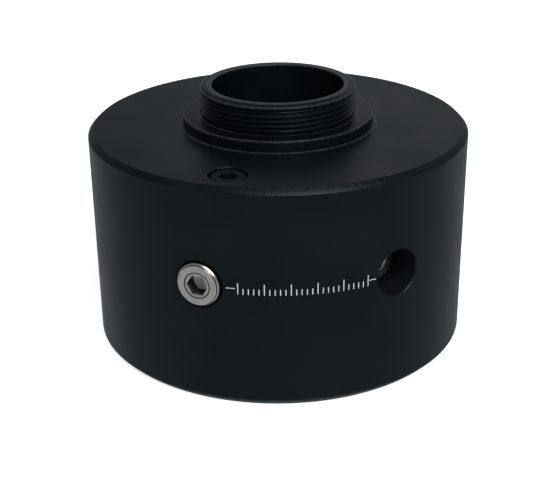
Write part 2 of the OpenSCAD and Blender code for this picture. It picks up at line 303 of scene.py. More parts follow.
def true_wall(piece, r):
    """Gives the carved outer wall of radius r the exact normals of a cylinder, and flat faces their own."""
    mesh = piece.data
    normals = [Vector(corner.vector) for corner in mesh.corner_normals]
    for face in mesh.polygons:
        for index in face.loop_indices:
            co = mesh.vertices[mesh.loops[index].vertex_index].co
            flat = Vector((co.x, co.y, 0))
            on_wall = abs(flat.length / MM - r) < 0.004
            if on_wall and face.normal.dot(flat.normalized()) > 0.995:
                normals[index] = flat.normalized()
            elif abs(face.normal.z) > 0.9999:
                normals[index] = face.normal.copy()
    mesh.normals_split_custom_set(normals)


# ---------------------------------------------------------------- material tools

class Recipe:
    """A Principled material with shortcuts for procedural detail. Scales are in cycles a millimetre."""

    def __init__(self, name, color, roughness, metallic=0.0, **sockets):
        self.material = bpy.data.materials.new(name)
        self.material.use_nodes = True
        self.nodes = self.material.node_tree.nodes
        self.links = self.material.node_tree.links
        self.shader = self.nodes["Principled BSDF"]
        self.set("Base Color", (*color, 1))
        self.set("Roughness", roughness)
        self.set("Metallic", metallic)
        for socket, value in sockets.items():
            self.set(socket.replace("_", " "), value)
        self.place = self.nodes.new("ShaderNodeTexCoord").outputs["Object"]
        self.height = None

    def set(self, socket, value):
        self.shader.inputs[socket].default_value = value

    def link(self, source, target):
        self.links.new(source, target)

    def math(self, operation, one, two=None, clamp=False):
        node = self.nodes.new("ShaderNodeMath")
        node.operation, node.use_clamp = operation, clamp
        for socket, value in zip(node.inputs, (one, two)):
            if isinstance(value, (int, float)):
                socket.default_value = value
            elif value is not None:
                self.link(value, socket)
        return node.outputs[0]

    def noise(self, scale, detail=3.0, stretch=(1, 1, 1)):
        """Noise from 0 to 1, its features about 1 / scale mm across."""
        mapping = self.nodes.new("ShaderNodeMapping")
        mapping.inputs["Scale"].default_value = [factor / MM for factor in stretch]
        self.link(self.place, mapping.inputs["Vector"])
        node = self.nodes.new("ShaderNodeTexNoise")
        node.inputs["Scale"].default_value = scale
        node.inputs["Detail"].default_value = detail
        self.link(mapping.outputs[0], node.inputs["Vector"])
        return node.outputs["Fac"]

    def from_axis(self, parts):
        """Distance from the local Z, in metres, of the point that a Separate XYZ node holds."""
        squares = [self.math("POWER", parts.outputs[i], 2) for i in (0, 1)]
        return self.math("SQRT", self.math("ADD", *squares))

    def turned(self, per_mm, radial):
        """Lathe marks: rings about the local Z, spread by radius on a face or by height on a wall."""
        parts = self.nodes.new("ShaderNodeSeparateXYZ")
        self.link(self.place, parts.inputs[0])
        distance = self.from_axis(parts) if radial else parts.outputs[2]
        join = self.nodes.new("ShaderNodeCombineXYZ")
        self.link(self.math("MULTIPLY", distance, per_mm / MM), join.inputs[0])
        node = self.nodes.new("ShaderNodeTexNoise")
        node.inputs["Scale"].default_value = 1.0
        node.inputs["Detail"].default_value = 4.0
        self.link(join.outputs[0], node.inputs["Vector"])
        return node.outputs["Fac"]

    def spread(self, source, low_value, high_value, start=0.3, end=0.7):
        """Maps the middle of a noise to the range low_value to high_value."""
        node = self.nodes.new("ShaderNodeMapRange")
        for socket, value in zip(node.inputs[1:5], (start, end, low_value, high_value)):
            socket.default_value = value
        self.link(source, node.inputs[0])
        return node.outputs[0]

    def tint(self, factor, one, two):
        """Blends two colours by a factor into the base colour."""
        node = self.nodes.new("ShaderNodeMix")
        node.data_type = "RGBA"
        colour_one, colour_two = node.inputs[6], node.inputs[7]
        if isinstance(one, tuple):
            colour_one.default_value = (*one, 1)
        else:
            self.link(one, colour_one)
        colour_two.default_value = (*two, 1)
        self.link(factor, node.inputs[0])
        self.link(node.outputs[2], self.shader.inputs["Base Color"])
        return node.outputs[2]

    def bump(self, source, depth):
        """Adds relief of a depth in mm."""
        scaled = self.math("MULTIPLY", source, depth * MM)
        self.height = scaled if self.height is None else self.math("ADD", self.height, scaled)
        return self

    def profile(self):
        """The point's place in the half-section: (distance from Z, height) in mm."""
        if not hasattr(self, "section"):
            parts = self.nodes.new("ShaderNodeSeparateXYZ")
            self.link(self.place, parts.inputs[0])
            join = self.nodes.new("ShaderNodeCombineXYZ")
            self.link(self.math("DIVIDE", self.from_axis(parts), MM), join.inputs[0])
            self.link(self.math("DIVIDE", parts.outputs[2], MM), join.inputs[1])
            self.section = join.outputs[0]
        return self.section

    def near(self, corners, width):
        """1 on round corners, each (radius, height) in mm, fading to 0 a width away.
        A corner's third value replaces the 1."""
        mask = 0.0
        for corner in corners:
            node = self.nodes.new("ShaderNodeVectorMath")
            node.operation = "DISTANCE"
            self.link(self.profile(), node.inputs[0])
            node.inputs[1].default_value = (*corner[:2], 0)
            strength = corner[2] if len(corner) > 2 else 1.0
            mask = self.math("MAXIMUM", self.spread(node.outputs["Value"], strength, 0.0, 0.0, width), mask)
        return mask

    def done(self):
        if self.height is not None:
            node = self.nodes.new("ShaderNodeBump")
            node.inputs["Strength"].default_value = 1.0
            node.inputs["Distance"].default_value = 1.0
            self.link(self.height, node.inputs["Height"])
            self.link(node.outputs[0], self.shader.inputs["Normal"])
        return self.material


# Lighter tint for anodised corners: partly real wear to bare metal, partly painted highlight where the edges catch
# the light.
EDGE_WEAR_AND_HIGHLIGHT_COLOR = (0.09, 0.095, 0.10)
GRAIN_DEPTH, LATHE_DEPTH = 0.004, 0.0012


def scaled(color, factor):
    return tuple(factor * channel for channel in color)


def anodised(name, color, roughness, wear_and_highlight_corners=(), chatter_rings=(), hollow_r=0.0, specular=0.17):
    """Black anodised aluminium: a satin skin over fine lathe marks, nicked on its corners, whose lighter tint is
    partly real wear and partly painted highlight.
    Chatter marks break up the gloss near the chatter rings, and all within hollow_r of the axis is matt."""
    recipe = Recipe(name, color, roughness, Specular_IOR_Level=specular, Specular_Tint=(0.8, 0.92, 1.0, 1))
    cloudy = recipe.noise(0.12, 3)
    grain = recipe.noise(9.0, 2)
    base = recipe.tint(recipe.spread(cloudy, 0, 1), scaled(color, 0.78), scaled(color, 1.25))
    if wear_and_highlight_corners:
        wear_and_highlight_width, nick_depth = 0.35, 0.012
        nicks = recipe.noise(2.2, 3)
        wear_and_highlight = recipe.near(wear_and_highlight_corners, wear_and_highlight_width)
        # Lighter tint on the corners: part real wear, part painted highlight.
        recipe.tint(recipe.math("MULTIPLY", wear_and_highlight, recipe.spread(nicks, 0.05, 0.5)), base, EDGE_WEAR_AND_HIGHLIGHT_COLOR)
        recipe.bump(recipe.math("MULTIPLY", nicks, recipe.near(wear_and_highlight_corners, 2 * wear_and_highlight_width)), nick_depth)
    mottled = recipe.math("ADD", recipe.spread(cloudy, -0.04, 0.04), recipe.spread(grain, -0.03, 0.03))
    mottled = recipe.math("ADD", mottled, roughness)
    if chatter_rings:
        chatter_width, chatter_depth, chatter_dulling = 0.75, 0.13, 0.08
        chatter = recipe.noise(2.4, 4)
        ring = recipe.near(chatter_rings, chatter_width)
        recipe.bump(recipe.math("MULTIPLY", chatter, ring), chatter_depth)
        mottled = recipe.math("ADD", mottled, recipe.math("MULTIPLY", ring, chatter_dulling))
    if hollow_r:
        hollow_dulling = 0.35
        parts = recipe.nodes.new("ShaderNodeSeparateXYZ")
        recipe.link(recipe.profile(), parts.inputs[0])
        inside = recipe.math("LESS_THAN", parts.outputs[0], hollow_r)
        mottled = recipe.math("ADD", mottled, recipe.math("MULTIPLY", inside, hollow_dulling))
    recipe.link(mottled, recipe.shader.inputs["Roughness"])
    recipe.bump(grain, GRAIN_DEPTH)
    for radial in (False, True):
        recipe.bump(recipe.turned(5.0, radial), LATHE_DEPTH)
    return recipe.done()


def metal(name, color, roughness, marks=0.002, dirt=0.25, radial=True, shaded_socket_r=None, shaded_creases=()):
    """Bare turned metal with lathe marks, fine scratches and a little dirt. Painted shade darkens the walls of its
    key socket, less so near its drilled floor, and painted shade darkens its creases."""
    recipe = Recipe(name, color, roughness, 1.0)
    stain = recipe.noise(0.9, 4)
    scratch = recipe.noise(3.0, 5, (1, 6, 1))
    base = recipe.tint(recipe.spread(stain, 0, 1), scaled(color, 1 - dirt), color)
    if shaded_socket_r:
        # Painted shade in the key socket: darker with depth down the walls, lifted again near the drilled floor.
        parts = recipe.nodes.new("ShaderNodeSeparateXYZ")
        recipe.link(recipe.profile(), parts.inputs[0])
        inside = recipe.math("LESS_THAN", parts.outputs[0], shaded_socket_r)
        walls = recipe.spread(parts.outputs[1], 0.85, 0.0, -0.9, -0.1)
        floor_light = recipe.spread(parts.outputs[1], 0.3, 0.0, -2.05, -1.9)
        shade = recipe.math("SUBTRACT", walls, floor_light)
        base = recipe.tint(recipe.math("MULTIPLY", inside, shade, True), base, scaled(color, 0.12))
    if shaded_creases:
        # Painted shade: dark lines in the creases, broken up by the stain noise.
        crease_shade_width = 0.14
        crease_shade = recipe.math("MULTIPLY", recipe.near(shaded_creases, crease_shade_width), recipe.spread(stain, 0.6, 1.0))
        recipe.tint(crease_shade, base, scaled(color, 0.02))
    mottled = recipe.math("ADD", recipe.spread(stain, 0.05, -0.04), recipe.spread(scratch, -0.06, 0.08))
    recipe.link(recipe.math("ADD", mottled, roughness, True), recipe.shader.inputs["Roughness"])
    recipe.bump(recipe.turned(7.0, radial), marks).bump(scratch, marks * 0.8)
    return recipe.done()


def matt(name, color, roughness, grain_scale=6.0, relief=0.006, **sockets):
    """Paint, rubber or matt black: mottled, with a fine grain."""
    recipe = Recipe(name, color, roughness, **sockets)
    grain = recipe.noise(grain_scale, 3)
    recipe.tint(recipe.spread(recipe.noise(0.6, 3), 0, 1), scaled(color, 0.8), color)
    recipe.link(recipe.spread(grain, roughness - 0.06, roughness + 0.06), recipe.shader.inputs["Roughness"])
    recipe.bump(grain, relief)
    return recipe.done()


def glass(name, tint):
    """Polished optical glass with a thin coating that tints its gloss, and a trace of dust."""
    recipe = Recipe(
        name, (0.98, 0.99, 1.0), 0.02,
        IOR=1.52, Transmission_Weight=1.0, Coat_Weight=0.35, Coat_Roughness=0.03, Coat_Tint=(*tint, 1),
    )
    recipe.link(recipe.spread(recipe.noise(2.5, 4), 0.01, 0.06, 0.55, 0.8), recipe.shader.inputs["Roughness"])
    recipe.bump(recipe.noise(0.2, 1), 0.0004)
    return recipe.done()


# Anodised corners tinted lighter: partly real wear, partly painted highlight on edges that catch the light. The
# three with a strength above 1, by the nose bore and the thread relief, are painted highlight.
WEAR_AND_HIGHLIGHT_EDGES = (
    (BODY_R, BOTTOM_CHAMFER),
    (FLANGE_R - 0.05, FLANGE_Z - 0.05),
    (FOOT_R - 0.03, PLATE_Z + FOOT_H - 0.03),
    (NOSE_R - 0.03, SLEEVE_Z[1] - NOSE_CHAMFER_H - 0.03),
    (NOSE_BORE_R + 0.25, SLEEVE_Z[1], 1.7),
    (NOSE_BORE_R + 0.6, SLEEVE_Z[1], 1.3),
    (NOSE_R + 0.11, FLANGE_Z - 0.03, 1.9),
)

CHATTERED = ((BODY_R - TOP_CHAMFER / 2, PLATE_Z - TOP_CHAMFER / 2),)

BLACK, BLACK_ROUGHNESS = (0.0024, 0.0042, 0.0054), 0.36
SATIN_BLACK = anodised("satin_black", BLACK, BLACK_ROUGHNESS, WEAR_AND_HIGHLIGHT_EDGES, CHATTERED)
WALL_BLACK = anodised("wall_black", BLACK, BLACK_ROUGHNESS, WEAR_AND_HIGHLIGHT_EDGES, hollow_r=BODY_R - 0.45)
INNER_BLACK = anodised("inner_black", (0.0026, 0.0040, 0.0050), 0.6)
# The lock screws carry painted shade in their key sockets and painted shade lines at the head's step and at the
# socket's mouth.
STAINLESS = metal("stainless", (0.76, 0.72, 0.66), 0.24, shaded_socket_r=1.9, shaded_creases=(
    (M4_HEAD_R - LOCK_CHAMFER, -LOCK_STEP - 0.02, 2.0), (M4_KEY / 2 + LOCK_MOUTH, 0, 2.0)))
BLACK_OXIDE = metal("black_oxide", (0.030, 0.040, 0.047), 0.5, dirt=0.4)
BRASS = metal("brass", (0.80, 0.60, 0.27), 0.26, radial=False)
RUBBER = matt("rubber", (0.012, 0.012, 0.013), 0.5)
WHITE_FILL = matt("white_fill", (0.55, 0.56, 0.56), 0.55, 9.0, 0.01)
CROWN_GLASS = glass("crown_glass", (0.55, 0.45, 0.9))
FLINT_GLASS = glass("flint_glass", (0.5, 0.85, 0.6))


def place(piece, node, body, material):
    """Finishes a piece: its material, the CAD node it stands for and the body it rides on."""
    piece.data.materials.clear()
    piece.data.materials.append(material)
    if node:
        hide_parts(node)
    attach(piece, body)
    return piece


# ---------------------------------------------------------------- housing

def recess_cutter(columns=96, edge_break=0.18):
    """The stepped hole of a lock screw along local Z, with an even bevel where it meets the round wall."""
    top = BODY_R + 3
    lead = 0.35
    rings = [
        (0, 10), (M4_HOLE, 10), (M4_HOLE, RECESS_FLOOR - lead), (M4_HOLE + lead, RECESS_FLOOR),
        (RECESS_R, RECESS_FLOOR), (RECESS_R, "below the wall"), (RECESS_R + edge_break, "at the wall"),
        (RECESS_R + edge_break + 0.3, top), (0, top),
    ]
    verts, rows = [], []
    for r, along in rings:
        row = []
        for i in range(columns):
            angle = math.tau * i / columns
            wall = math.sqrt(BODY_R ** 2 - (r * math.cos(angle)) ** 2)
            z = {"below the wall": wall - edge_break, "at the wall": wall + 0.002}.get(along, along)
            row.append(len(verts))
            verts.append((r * math.cos(angle), r * math.sin(angle), z))
            if r == 0:
                row = [row[0]] * columns
                break
        rows.append(row)
    faces = []
    for one, two in zip(rows, rows[1:]):
        for i in range(columns):
            j = (i + 1) % columns
            corners = list(dict.fromkeys((one[i], one[j], two[j], two[i])))
            faces.append(corners)
    return verts, faces


def on_wall(points, r0, r1):
    """A closed prism bent round the barrel: its outline is in (degrees of azimuth, height)."""
    verts = []
    for r in (r0, r1):
        for azimuth, z in points:
            angle = math.radians(azimuth)
            verts.append((r * math.sin(angle), -r * math.cos(angle), z))
    count = len(points)
    faces = [[i, (i + 1) % count, (i + 1) % count + count, i + count] for i in range(count)]
    return verts, faces + [list(range(count)), list(range(count, 2 * count))]


STROKE = 0.15
MARK_Z = 19.85
MARK_H = 1.85
MARK_DEPTH, FILL_SUNK = 0.1, 0.012
MARK_ENDS = (-17.7, 18.8)
MARK_COUNT = 26
DASHES = ((-21.1, -18.4), (19.2, 21.4))


def stroke(azimuth0, azimuth1, z0, z1, r0, r1):
    """One engraved stroke with round ends, between two points on the wall."""
    per_degree = math.radians(1) * BODY_R
    start, end = Vector((azimuth0 * per_degree, z0)), Vector((azimuth1 * per_degree, z1))
    along = (end - start).normalized() * STROKE / 2
    points = []
    for centre, turn in ((end, -90), (start, 90)):
        for i in range(7):
            offset = Matrix.Rotation(math.radians(turn + 30 * i), 2) @ along
            points.append(((centre + offset).x / per_degree, (centre + offset).y))
    return on_wall(points, r0, r1)


def marks(r0, r1):
    """The index line: strokes at an even pitch, every fifth one tall, between two dashes."""
    shapes = [stroke(a + 0.2, b - 0.2, MARK_Z, MARK_Z, r0, r1) for a, b in DASHES]
    first, last = MARK_ENDS
    for i in range(MARK_COUNT):
        azimuth = first + (last - first) * i / (MARK_COUNT - 1)
        half = MARK_H / 2 - STROKE / 2
        top = MARK_Z + (half if i % 5 == 0 else 0)
        shapes.append(stroke(azimuth, azimuth, MARK_Z - half, top, r0, r1))
    return joined(*shapes)


def make_barrel():
    recess_z = BASE_RING_H + 0.1
    wall = outline([
        (BASE_RING_R + FIT, 0, 0.1),
        (BODY_R - BOTTOM_CHAMFER, 0, 0.12),
        (BODY_R, BOTTOM_CHAMFER, 0.12),
        (BODY_R, SEAM_Z),
        (SPIGOT_R + FIT, SEAM_Z),
        (SPIGOT_R + FIT, SEAM_Z - SPIGOT_H),
        (BORE_R, SEAM_Z - SPIGOT_H),
        (BORE_R, recess_z, 0.2),
        (BASE_RING_R + FIT, recess_z),
    ])
    barrel = build("barrel_skin", revolve(wall))
    for axis in (LEFT_AXIS, RIGHT_AXIS):
        carve(barrel, moved(recess_cutter(), outward(axis, LOCK_Z)))
    tapped_r, tapped_floor = 1.5, 25.7
    tapped = rod(tapped_r, tapped_floor, 40)
    holes = [moved(tapped, around(azimuth, PLATE_SCREW_R)) for azimuth in PLATE_SCREW_AZIMUTHS]
    holes += [moved(rod(M25_HOLE, -1, 11), around(azimuth, BASE_SCREW_R)) for azimuth in BASE_SCREW_AZIMUTHS]
    wide_r, bevel_r, top = 1.6, 1.8, 34
    guide = revolve([
        (0, 10), (M25_HOLE, 10), (M25_HOLE, 20), (wide_r, 20), (wide_r, BODY_R - 0.1),
        (bevel_r, BODY_R + 0.1), (bevel_r, top), (0, top),
    ], 48, closed=False)
    holes.append(moved(guide, outward(BACK_AXIS, high("guide_screw") - M25_HOLE)))
    carve(barrel, joined(*holes))
    carve(barrel, marks(BODY_R - MARK_DEPTH, BODY_R + 0.4))
    true_wall(barrel, BODY_R)
    place(barrel, "barrel", "housing", WALL_BLACK)
    fill = build("index_marks", marks(BODY_R - MARK_DEPTH, BODY_R - FILL_SUNK))
    place(fill, None, "housing", WHITE_FILL)


def make_top_plate():
    wall = outline([
        (BORE_R, SEAM_Z - SPIGOT_H),
        (SPIGOT_R, SEAM_Z - SPIGOT_H),
        (SPIGOT_R, SEAM_Z),
        (BODY_R, SEAM_Z),
        (BODY_R, PLATE_Z - TOP_CHAMFER, 0.1),
        (BODY_R - TOP_CHAMFER, PLATE_Z, 0.1),
        (BORE_R + 0.3, PLATE_Z),
        (BORE_R, PLATE_Z - 0.3),
    ])
    plate = build("top_plate_skin", revolve(wall))
    seat = PLATE_Z - 0.2 - M3_HEAD_H
    shank_r, head_r, mouth_r = 1.7, 2.95, 3.09
    hole = revolve([
        (0, 20), (shank_r, 20), (shank_r, seat), (head_r, seat), (head_r, PLATE_Z - 0.12),
        (mouth_r, PLATE_Z + 0.02), (mouth_r, 40), (0, 40),
    ], 64, closed=False)
    carve(plate, joined(*[moved(hole, around(azimuth, PLATE_SCREW_R)) for azimuth in PLATE_SCREW_AZIMUTHS]))
    true_wall(plate, BODY_R)
    place(plate, "top_plate", "housing", SATIN_BLACK)


def make_base_ring():
    major, lead = BASE_MINOR_R + BASE_DEPTH, 0.5
    rest = outline([
        (major, BASE_RING_H),
        (BASE_RING_R, BASE_RING_H, 0.1),
        (BASE_RING_R, 0, 0.3),
        (major + lead / 2, 0),
        (major, lead / 2),
        (major, lead),
    ], closed=False)
    thread = helix(lead, BASE_RING_H, BASE_PITCH, major, BASE_MINOR_R)
    ring = build("base_ring_skin", revolve(rest, closed=False), thread)
    sink_r, hole_r = 2.4, 1.4
    hole = revolve([
        (0, -1), (sink_r, -1), (sink_r, 0.3), (hole_r, 1.3), (hole_r, 9), (0, 9),
    ], 48, closed=False)
    carve(ring, joined(*[moved(hole, around(azimuth, BASE_SCREW_R)) for azimuth in BASE_SCREW_AZIMUTHS]))
    place(ring, "base_ring", "housing", SATIN_BLACK)


# ---------------------------------------------------------------- screws

def knurled_head(r, z0, z1, chamfer, step, ridges, depth=0.045):
    """A cap screw's head: straight knurling round its side and, above it, a chamfer and a small step.
    Open at its underside."""
    columns = ridges * 4
    soft = 0.35 * chamfer
    arc = outline([
        (r, z0), (r, z1 - step - chamfer, soft), (r - chamfer, z1 - step),
        (r - chamfer, z1, 0.3 * step), (0, z1),
    ], 3, closed=False)
    levels = [(r, z0), (r, z0 + 0.25), (r, z1 - step - chamfer - 0.3)] + arc[1:]
    verts, faces = revolve(levels, columns, closed=False)
    knurled = range(columns, 3 * columns)
    for index in knurled:
        if index % 4 in (0, 1):
            x, y, z = verts[index]
            verts[index] = (x * (1 - depth / r), y * (1 - depth / r), z)
    return verts, faces


def socket(key, depth, mouth):
    """The hexagonal key socket in a face at z = 0: its hexagon, and its drilled floor with a countersink
    that is a mouth wider than the flats."""
    corner = key / math.sqrt(3)
    lead, spare = 0.25 * mouth, 0.05
    drilled = revolve([
        (0, -depth - 0.45 * corner), (0.87 * corner, -depth + 0.02), (0.5 * key, -lead),
        (0.5 * key + mouth * (1 + spare / lead), spare), (0, spare),
    ], 48, closed=False)
    return hexagon(key, -depth, 0.1), drilled


def cap_screw(
        name, shank_r, root_r, pitch, length, head_r, head_h, key, key_depth, mouth, chamfer, step, ridges):
    """A socket cap screw along local Z with its head's face at z = 0."""
    under, end = -head_h, -head_h - length
    columns = ridges * 4
    head = knurled_head(head_r, under, 0, chamfer, step, ridges)
    neck = revolve([(head_r, under), (root_r, under), (root_r, under - 0.3)], columns, closed=False)
    thread = helix(end + 0.35, under - 0.3, pitch, root_r, shank_r, columns, 10)
    tip = revolve([(root_r, end + 0.35), (root_r - 0.25, end), (0, end)], columns, closed=False)
    screw = build(name, head, neck, thread, tip, sharp=24)
    for shape in socket(key, key_depth, mouth):
        carve(screw, shape, 24)
    return screw


def make_lock_screws():
    for side, axis in (("left", LEFT_AXIS), ("right", RIGHT_AXIS)):
        face = reach(f"{side}_lock_screw", axis)[1]
        screw = cap_screw(
            f"{side}_lock_screw_skin", M4_R, M4_ROOT, M4_PITCH, M4_LENGTH, M4_HEAD_R, M4_HEAD_H,
            M4_KEY, M4_KEY_DEPTH, LOCK_MOUTH, LOCK_CHAMFER, LOCK_STEP, ridges=48)
        end = -M4_HEAD_H - M4_LENGTH
        carve(screw, rod(TIP_HOLE_R, end - 1, end + TIP_HOLE_DEPTH), 24)
        screw.matrix_world = outward(axis, LOCK_Z) @ Matrix.Translation((0, 0, face))
        screw.matrix_world.translation *= MM
        place(screw, f"{side}_lock_screw", f"{side}_screw", STAINLESS)
        make_tip(side, axis)


def make_tip(side, axis):
    start, end = reach(f"{side}_screw_tip", axis)
    length, pad_r, pad_h, stem_r = end - start, 1.5, 1.56, 0.8
    section = outline([
        (0, 0), (pad_r, 0, 0.2), (pad_r, pad_h, 0.1), (stem_r, pad_h), (stem_r, length, 0.2), (0, length),
    ], closed=False)
    shape = revolve(section, 48, closed=False)
    tip = build(f"{side}_screw_tip_skin", shape)
    tip.matrix_world = outward(axis, LOCK_Z) @ Matrix.Translation((0, 0, start))
    tip.matrix_world.translation *= MM
    place(tip, f"{side}_screw_tip", f"{side}_tip", BRASS)


def make_plate_screws():
    for index, azimuth in enumerate(PLATE_SCREW_AZIMUTHS):
        screw = cap_screw(
            f"top_plate_screw_{index}", M3_R, M3_ROOT, M3_PITCH, M3_LENGTH, M3_HEAD_R, M3_HEAD_H,
            M3_KEY, M3_KEY_DEPTH, M3_MOUTH, M3_CHAMFER, M3_STEP, ridges=40)
        spot = around(azimuth, PLATE_SCREW_R, high("top_plate_screws")).translation
        screw.matrix_world = Matrix.Translation(spot * MM)
        place(screw, "top_plate_screws", "housing", BLACK_OXIDE)


def make_base_screws():
    """Countersunk screws, their heads just inside the base ring's face."""
    face, head_r, neck, tip = 0.1, 2.35, 1.42, 10.0
    for index, azimuth in enumerate(BASE_SCREW_AZIMUTHS):
        section = [(0, face), (head_r, face), (head_r, 0.3), (M25_R, neck), (M25_ROOT, neck)]
        head = revolve(section, 96, closed=False)
        thread = helix(neck, tip - 0.3, M25_PITCH, M25_ROOT, M25_R, 96, 10)
        end = revolve([(M25_ROOT, tip - 0.3), (M25_ROOT - 0.2, tip), (0, tip)], 96, closed=False)
        screw = build(f"base_ring_screw_{index}", head, thread, end, sharp=24)
        carve(screw, hexagon(1.5, -1, 1.1), 24)
        screw.matrix_world = Matrix.Translation(around(azimuth, BASE_SCREW_R).translation * MM)
        place(screw, "base_ring_screws", "housing", BLACK_OXIDE)


# ---------------------------------------------------------------- sleeve

def make_sleeve():
    bottom, top = SLEEVE_Z
    root = NOSE_R - CAMERA_DEPTH
    groove_r, groove = 12.4, (14.7, 21.4)
    ring_r, ring = 12.1, (30.2, 31.8)
    relief_r, relief = NOSE_R + 0.1, 0.25
    shoulder = high("glare_stop")
    land_z = top - NOSE_CHAMFER_H - TOP_LAND
    thread_start, thread_end = FLANGE_Z + 0.3, land_z - 0.36 * CAMERA_PITCH
    outer = outline([
        (CELL_R + FIT, shoulder),
        (CELL_R + FIT, bottom),
        (SLEEVE_R, bottom, 0.25),
        (SLEEVE_R, groove[0]), (groove_r, groove[0]), (groove_r, groove[1]), (SLEEVE_R, groove[1]),
        (SLEEVE_R, ring[0], 0.1), (ring_r, ring[0], 0.15), (ring_r, ring[1], 0.15), (SLEEVE_R, ring[1], 0.1),
        (SLEEVE_R, PLATE_Z),
        (FOOT_R, PLATE_Z),
        (FOOT_R, PLATE_Z + FOOT_H, 0.08),
        (FLANGE_R, PLATE_Z + FOOT_H + 0.03),
        (FLANGE_R, FLANGE_Z, 0.2),
        (relief_r + 0.06, FLANGE_Z),
        (relief_r, FLANGE_Z - 0.06),
        (relief_r, FLANGE_Z - relief),
        (root, FLANGE_Z - relief),
        (root, thread_start),
    ], closed=False)
    nose = outline([
        (root, thread_end),
        (NOSE_R, land_z, 0.04),
        (NOSE_R, top - NOSE_CHAMFER_H, 0.14),
        (NOSE_R - NOSE_CHAMFER_W, top, 0.04),
        (NOSE_BORE_R + 0.2, top, 0.06),
        (NOSE_BORE_R, top - 0.2, 0.06),
        (NOSE_BORE_R, shoulder),
        (CELL_R + FIT, shoulder),
    ], closed=False)
    thread = helix(thread_start, thread_end, CAMERA_PITCH, root, NOSE_R)
    walls = revolve(outer, closed=False), thread, revolve(nose, closed=False)
    sleeve = build("focus_sleeve_skin", *walls, sharp=26)
    slot_z = high("guide_screw") - M25_HOLE
    slot_half, slot_low, slot_top, slot_floor, grub_hole_r = 0.85, -4.55, 1.05, 12.45, 0.8
    slot = bar(-slot_half, slot_half, slot_low, slot_top, slot_floor, 20)
    grub_hole = rod(grub_hole_r, 5, 20)
    grubs = [moved(grub_hole, outward(Vector((side, 0, 0)), CELL_GRUB_Z)) for side in (-1, 1)]
    carve(sleeve, joined(moved(slot, outward(BACK_AXIS, slot_z)), *grubs), 26)
    place(sleeve, "focus_sleeve", "focus_tube", SATIN_BLACK)


def make_sleeve_ring():
    z = (low("sleeve_o_ring") + high("sleeve_o_ring")) / 2
    section = (high("sleeve_o_ring") - low("sleeve_o_ring")) / 2
    centre = radius("sleeve_o_ring") - section
    ring = build("sleeve_o_ring_skin", revolve(circle_points(section, 24, centre, z)))
    place(ring, "sleeve_o_ring", "focus_tube", RUBBER)


# ---------------------------------------------------------------- optics

def dome(rad, half, z, steps=24):
    """Points on a spherical surface from its rim, at radius half and height z, to the axis. It rises
    inwards where rad is positive."""
    drop = abs(rad) - math.sqrt(rad * rad - half * half)
    points = []
    for i in range(steps + 1):
        r = half * (1 - i / steps)
        rise = drop - (abs(rad) - math.sqrt(rad * rad - r * r))
        points.append((r, z + math.copysign(rise, rad)))
    return points


def lens(name, node, lower, upper, z0, z1, material):
    """A lens from its two surfaces, each (radius of curvature, half-width), and the heights of its edge."""
    under = list(reversed(dome(*lower, z0)))
    over = dome(*upper, z1)
    bevel = 0.12
    edge = [(LENS_R, z0 + bevel), (LENS_R, z1 - bevel)]
    rim_low = [(LENS_R - bevel, z0)] if lower[1] < LENS_R - 0.2 else []
    rim_high = [(LENS_R - bevel, z1)] if upper[1] < LENS_R - 0.2 else []
    section = under + rim_low + edge + rim_high + over
    piece = build(name, revolve(section, FINE_COLUMNS, closed=False), sharp=15)
    place(piece, node, "focus_tube", material)


def make_optics():
    """The cemented pair, whose inner surfaces share one curve, and the field lens."""
    cemented, flat = -28, 4000
    flint_dip, field_rise = 1.78, 1.1
    lens("crown_element_skin", "crown_element", (40, 9.2), (cemented, 9.4),
         low("crown_element"), high("crown_element"), CROWN_GLASS)
    lens("flint_element_skin", "flint_element", (cemented, 9.85), (-60, 9.2),
         low("flint_element") + flint_dip, high("flint_element"), FLINT_GLASS)
    lens("field_lens_skin", "field_lens", (flat, 9.7), (45, 9.85),
         low("field_lens"), high("field_lens") - field_rise, CROWN_GLASS)


def ring_piece(node, points, material):
    """A ring that rides with the sleeve, from its half-section."""
    ring = build(f"{node}_skin", revolve(outline(points), FINE_COLUMNS))
    place(ring, node, "focus_tube", material)


def make_cell():
    bottom, top = low("lens_cell"), high("lens_cell")
    flange_r = radius("lens_cell")
    seat = low("crown_element")
    flange_z = low("cell_shim")
    bore_r, seat_r, mouth_r, mouth = LENS_R + FIT, 9.2, 9.8, 0.6
    rib_count, rib_pitch, rib_depth = 9, 0.16, 0.1
    ribs = []
    for i in range(rib_count):
        z = top - 0.35 - rib_pitch * i
        ribs += [(bore_r, z), (bore_r + rib_depth, z - rib_pitch / 2)]
    outside = outline([
        (mouth_r, bottom), (flange_r, bottom, 0.15), (flange_r, flange_z, 0.08), (CELL_R, flange_z),
        (CELL_R, top, 0.15), (bore_r, top, 0.12),
    ])
    inside = [(bore_r, seat + 1), (bore_r, seat), (seat_r, seat), (seat_r, bottom + mouth)]
    cell = build("lens_cell_skin", revolve(outside + ribs + inside, FINE_COLUMNS))
    notch_half, notch_depth = 0.75, 0.6
    cutter = bar(-20, 20, -notch_half, notch_half, bottom - 1, bottom + notch_depth)
    for turn in (0, 90):
        carve(cell, moved(cutter, Matrix.Rotation(math.radians(turn), 4, "Z")))
    place(cell, "lens_cell", "focus_tube", INNER_BLACK)


